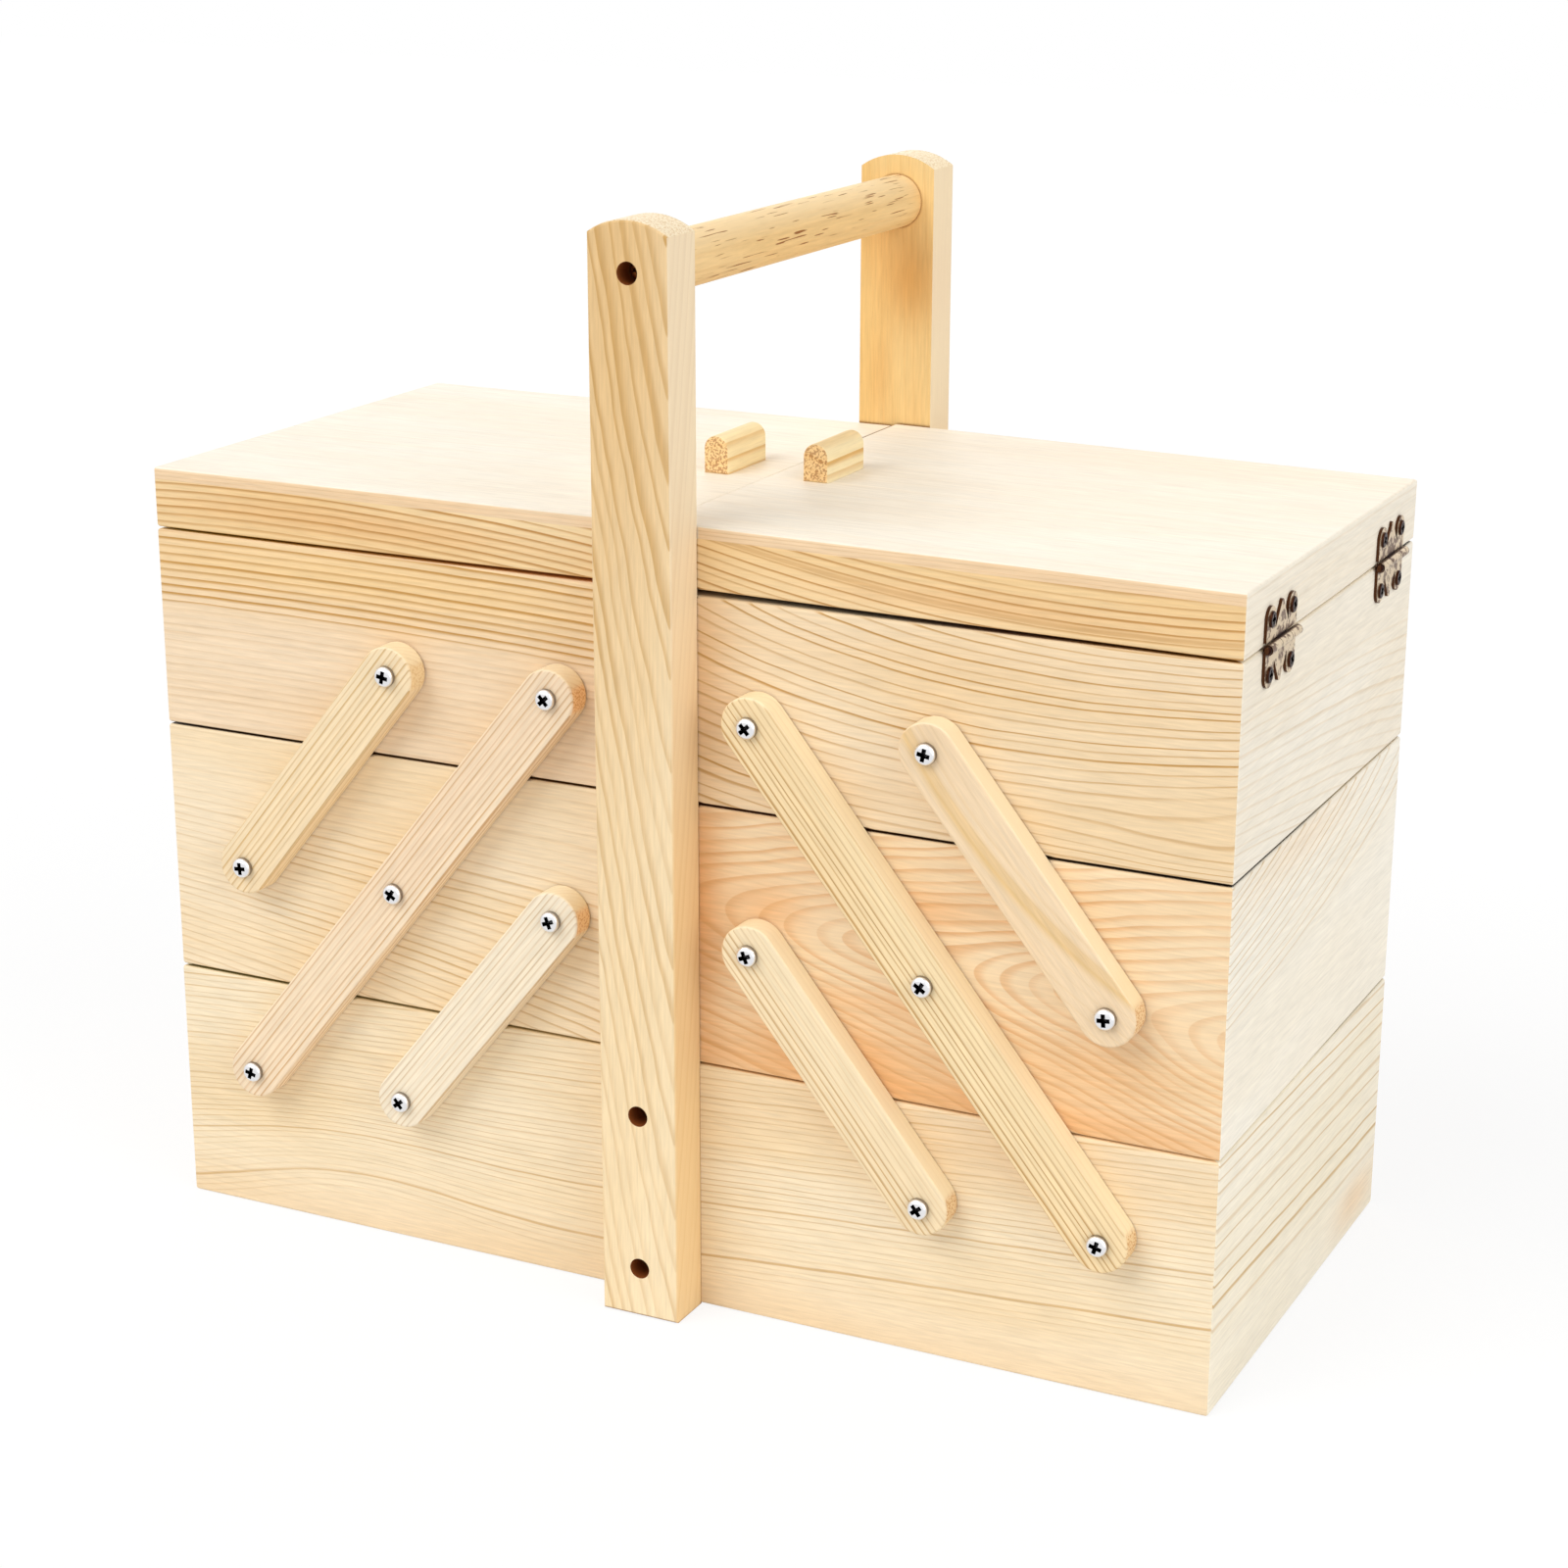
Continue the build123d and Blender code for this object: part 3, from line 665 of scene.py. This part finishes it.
def post_material(name, grain):
    """The narrow sides are painted paler than the faces as lit and darker towards the foot, and the
    holes and touching places get painted shade.
    """
    material, tree, shader = new_material(name)
    x, y, z = coordinates(tree, "Object", MM)
    normal = coordinates(tree, "Normal")
    end = abs(normal[2]).step(0.6, 0.9)
    colour, line, fibres = pine_grain(tree, z, x, y, grain, end)
    # painted light and shade on the narrow sides
    side = blend(tree, z.step(*POST_SIDE_HEIGHTS), POST_SIDE_SHADED_FOOT, POST_SIDE_LIT_TOP)
    colour = blend(tree, abs(normal[0]).step(0.5, 0.8) * 0.75, colour, side)
    # painted shade in the holes and where other parts touch
    colour = blend(tree, openness(tree, HOLE_REACH).step(0.92, 0.7), colour, HOLE_PAINTED_SHADE)
    contact = openness(tree, CONTACT_REACH, own_only=False).step(0.8, 0.55)
    colour = blend(tree, contact * 0.8, colour, CONTACT_PAINTED_SHADE)
    finish_wood(tree, shader, colour, line, fibres)
    return material


def dowel_material(name):
    """Rubberwood: pale and even, with short dark pores along the grain, and painted light on its upper
    side.
    """
    material, tree, shader = new_material(name)
    x, y, z = coordinates(tree, "Object", MM)
    grain = Grain(pith_across=-40, pith_depth=10, spacing=4.0, contrast=0.2, warp=0.8, seed=81.0,
                  pale=shown(245, 215, 163), warm=shown(238, 199, 137), line=shown(216, 168, 106))
    colour, line, fibres = pine_grain(tree, y, x, z, grain)
    upward = coordinates(tree, "Normal")[2]
    # painted light on the upper side
    colour = blend(tree, upward.step(0.1, 0.9) * 0.4, colour, DOWEL_TOP_PAINTED_LIGHT)
    place = (y, x, z)
    cells = board_noise(tree, place, DOWEL_PORE_CELL, (0, 0, 0), 0.0)
    crowd = board_noise(tree, place, DOWEL_CROWD_CELL, (3.1, 0, 0), 1.0)
    pores = cells.step(0.69, 0.75) * crowd.step(0.38, 0.57)
    colour = blend(tree, pores, colour, DOWEL_PORE)
    finish_wood(tree, shader, colour, line, fibres - pores * 0.5)
    return material


def dress_posts_and_handle():
    for name, grain in post_grains.items():
        set_material(name, post_material(name, grain))
    set_material("handle_dowel", dowel_material("handle_dowel"))
    for side, seed in (("left", 85.0), ("right", 88.0)):
        name = f"{side}_lid_knob"
        grain = Grain(pith_across=0, pith_depth=-205, spacing=4.6, contrast=0.9, width=0.3, warp=0.4,
                      pale=shown(253, 238, 198), warm=shown(246, 220, 164), line=shown(218, 170, 96),
                      end=shown(250, 212, 152), pore=shown(168, 104, 50), seed=seed)
        set_material(name, pine_board(name, DEEP, grain, has_end=True))


# ---------------------------------------------------------------- floors and metal
def dress_floors():
    for name in sorted(nodes):
        if name.endswith("_floor"):
            grain = Grain(spacing=9.0, contrast=0.2, warp=10.0, seed=len(name) * 1.0,
                          pale=shown(245, 228, 196), warm=shown(240, 218, 180))
            set_material(name, pine_board(name, FLAT, grain))


PATINA_CELL = 2.4              # millimetres across the patches of patina


class Metal(NamedTuple):
    """How a metal looks. Rims are what doesn't face along the axis whose number is given."""

    colour: tuple
    roughness: float
    recess: tuple                  # colour of the recesses; in the screws' slots it is painted shade
    reach: float                   # millimetres within which other surfaces make a recess
    rim: tuple                     # colour of the rims; on the zinc heads it is painted shade
    faces: int                     # number of the axis that the flat faces look along
    patina: tuple = shown(0, 0, 0)
    patina_share: float = 0.0


def metal_material(name, metal):
    material, tree, shader = new_material(name)
    cells = coordinates(tree, "Object", MM / PATINA_CELL)
    patches = noise(tree, *cells, 3.0, 0.6).step(0.48, 0.58)
    tone = blend(tree, patches * metal.patina_share, metal.colour, metal.patina)
    # painted shade: the screws' dark slots and the zinc heads' dark rims
    rim = abs(coordinates(tree, "Normal")[metal.faces]).step(0.45, 0.15)
    tone = blend(tree, rim, tone, metal.rim)
    recess = openness(tree, metal.reach).step(0.96, 0.72)
    plug(tree, shader.inputs["Base Color"], blend(tree, recess, tone, metal.recess))
    shader.inputs["Metallic"].default_value = 1.0
    shader.inputs["Roughness"].default_value = metal.roughness
    return material


metals = {
    "zinc": Metal(
        colour=shown(236, 236, 238), roughness=0.3, recess=shown(8, 6, 8), reach=2.4,
        rim=shown(150, 144, 140), faces=1),
    "bronze": Metal(
        colour=shown(222, 202, 172), roughness=0.4, recess=shown(60, 32, 20), reach=1.6,
        rim=shown(84, 54, 36), faces=0, patina=shown(92, 56, 38), patina_share=0.85),
    "dark_bronze": Metal(
        colour=shown(42, 20, 15), roughness=0.36, recess=shown(16, 6, 4), reach=1.8,
        rim=shown(84, 54, 36), faces=0, patina=shown(84, 52, 36), patina_share=0.4),
    "sunk": Metal(
        colour=shown(190, 116, 58), roughness=0.5, recess=shown(100, 50, 22), reach=2.4,
        rim=shown(120, 70, 36), faces=1),
}


def dress_metal():
    made = {name: metal_material(name, metal) for name, metal in metals.items()}
    for name in sorted(nodes):
        if name.endswith("_leaves"):
            set_material(name, made["bronze"])
        elif "hinge" in name:
            set_material(name, made["dark_bronze"])
        elif name == "post_screws":
            set_material(name, made["sunk"])
        elif "screws" in name:
            set_material(name, made["zinc"])


dress_walls()
dress_lids()
dress_arms()
dress_posts_and_handle()
dress_floors()
dress_metal()


# ---------------------------------------------------------------- studio
WHITE = (1.0, 1.0, 1.0, 1.0)
FLOOR_GREY = (0.8, 0.8, 0.8, 1.0)      # the floor's colour for the light that it throws back
FLOOR_WHITENESS = 0.82                 # share of pure white; the rest of it keeps the shadow
FLOOR_SIZE = 8.0
FLOOR_HEIGHT = -0.0002
SKY_STRENGTH = 0.515

suns = (                               # name, direction it comes from, level, spread in degrees
    ("key", (-0.5, -0.75, 0.9), 0.48, 45),
    ("fill", (0.9, -0.3, 0.5), 0.34, 50),
    ("back", (-0.35, 0.93, 0.04), 0.33, 45),
)

# The camera, fitted to the photo. Lengths in pixels are those of the whole picture.
PICTURE = 1600.0
FOCAL_PIXELS = 3275.7
LENS_AXIS = (851.8, 843.5)             # where the lens axis meets the picture
AZIMUTH, ELEVATION, ROLL = (math.radians(angle) for angle in (25.36, 18.16, 0.43))
ORIGIN_SEEN = (-0.01862, -0.13124, 1.14365)    # the frame's origin, seen from the camera
SENSOR_WIDTH = 36.0                    # in millimetres


def white_where_seen(tree, shader_socket, share, out_socket):
    """Mixes pure white into what the camera, and metal that mirrors it, sees of a surface."""
    path = tree.nodes.new("ShaderNodeLightPath")
    seen = Signal(tree, path.outputs["Is Camera Ray"])
    for ray in ("Is Glossy Ray", "Is Transmission Ray"):
        seen = seen.math("MAXIMUM", Signal(tree, path.outputs[ray]))
    white = tree.nodes.new("ShaderNodeEmission")
    white.inputs["Color"].default_value = WHITE
    mix = tree.nodes.new("ShaderNodeMixShader")
    plug(tree, mix.inputs[0], seen * share)
    tree.links.new(shader_socket, mix.inputs[1])
    tree.links.new(white.outputs[0], mix.inputs[2])
    tree.links.new(mix.outputs[0], out_socket)


def add_floor():
    """A wide white floor that keeps a faint shadow."""
    bpy.ops.mesh.primitive_plane_add(size=FLOOR_SIZE, location=(0, 0, FLOOR_HEIGHT))
    floor = bpy.context.object
    floor.name = "studio_floor"
    material, tree, shader = new_material("studio_floor")
    camera_ray = Signal(tree, tree.nodes.new("ShaderNodeLightPath").outputs["Is Camera Ray"])
    plug(tree, shader.inputs["Base Color"], blend(tree, camera_ray, FLOOR_GREY, WHITE))
    shader.inputs["Roughness"].default_value = 0.9
    shader.inputs["Specular IOR Level"].default_value = 0.0
    output = tree.nodes["Material Output"]
    white_where_seen(tree, shader.outputs[0], FLOOR_WHITENESS, output.inputs["Surface"])
    floor.data.materials.append(material)


def add_world():
    world = bpy.data.worlds.new("studio")
    bpy.context.scene.world = world
    world.use_nodes = True
    tree = world.node_tree
    sky = tree.nodes["Background"]
    sky.inputs["Color"].default_value = WHITE
    sky.inputs["Strength"].default_value = SKY_STRENGTH
    white_where_seen(tree, sky.outputs[0], 1.0, tree.nodes["World Output"].inputs["Surface"])


def add_sun(name, towards, level, spread):
    """A wide soft light from a direction. Level 1 lights a face square to it as white paper."""
    sun = bpy.data.lights.new(name, "SUN")
    sun.energy = level * math.pi
    sun.angle = math.radians(spread)
    holder = bpy.data.objects.new(name, sun)
    bpy.context.scene.collection.objects.link(holder)
    holder.rotation_euler = Vector(towards).to_track_quat("Z", "Y").to_euler()


def add_camera():
    """The camera looks at the carrier from the front right and a little above."""
    back = Vector((
        math.sin(AZIMUTH) * math.cos(ELEVATION),
        -math.cos(AZIMUTH) * math.cos(ELEVATION),
        math.sin(ELEVATION),
    ))
    level_right = (-back).cross(Vector((0, 0, 1))).normalized()
    level_up = level_right.cross(-back)
    right = level_right * math.cos(ROLL) + level_up * math.sin(ROLL)
    up = level_up * math.cos(ROLL) - level_right * math.sin(ROLL)
    place = back * ORIGIN_SEEN[2] - right * ORIGIN_SEEN[0] - up * ORIGIN_SEEN[1]
    camera = bpy.data.cameras.new("camera")
    camera.sensor_width = SENSOR_WIDTH
    camera.lens = FOCAL_PIXELS / PICTURE * SENSOR_WIDTH
    camera.shift_x = (PICTURE / 2 - LENS_AXIS[0]) / PICTURE
    camera.shift_y = (LENS_AXIS[1] - PICTURE / 2) / PICTURE
    holder = bpy.data.objects.new("camera", camera)
    bpy.context.scene.collection.objects.link(holder)
    turn = Matrix((right, up, back)).transposed()
    holder.matrix_world = Matrix.Translation(place) @ turn.to_4x4()
    bpy.context.scene.camera = holder


add_floor()
add_world()
for sun in suns:
    add_sun(*sun)
add_camera()
bpy.context.scene.view_settings.view_transform = "Standard"
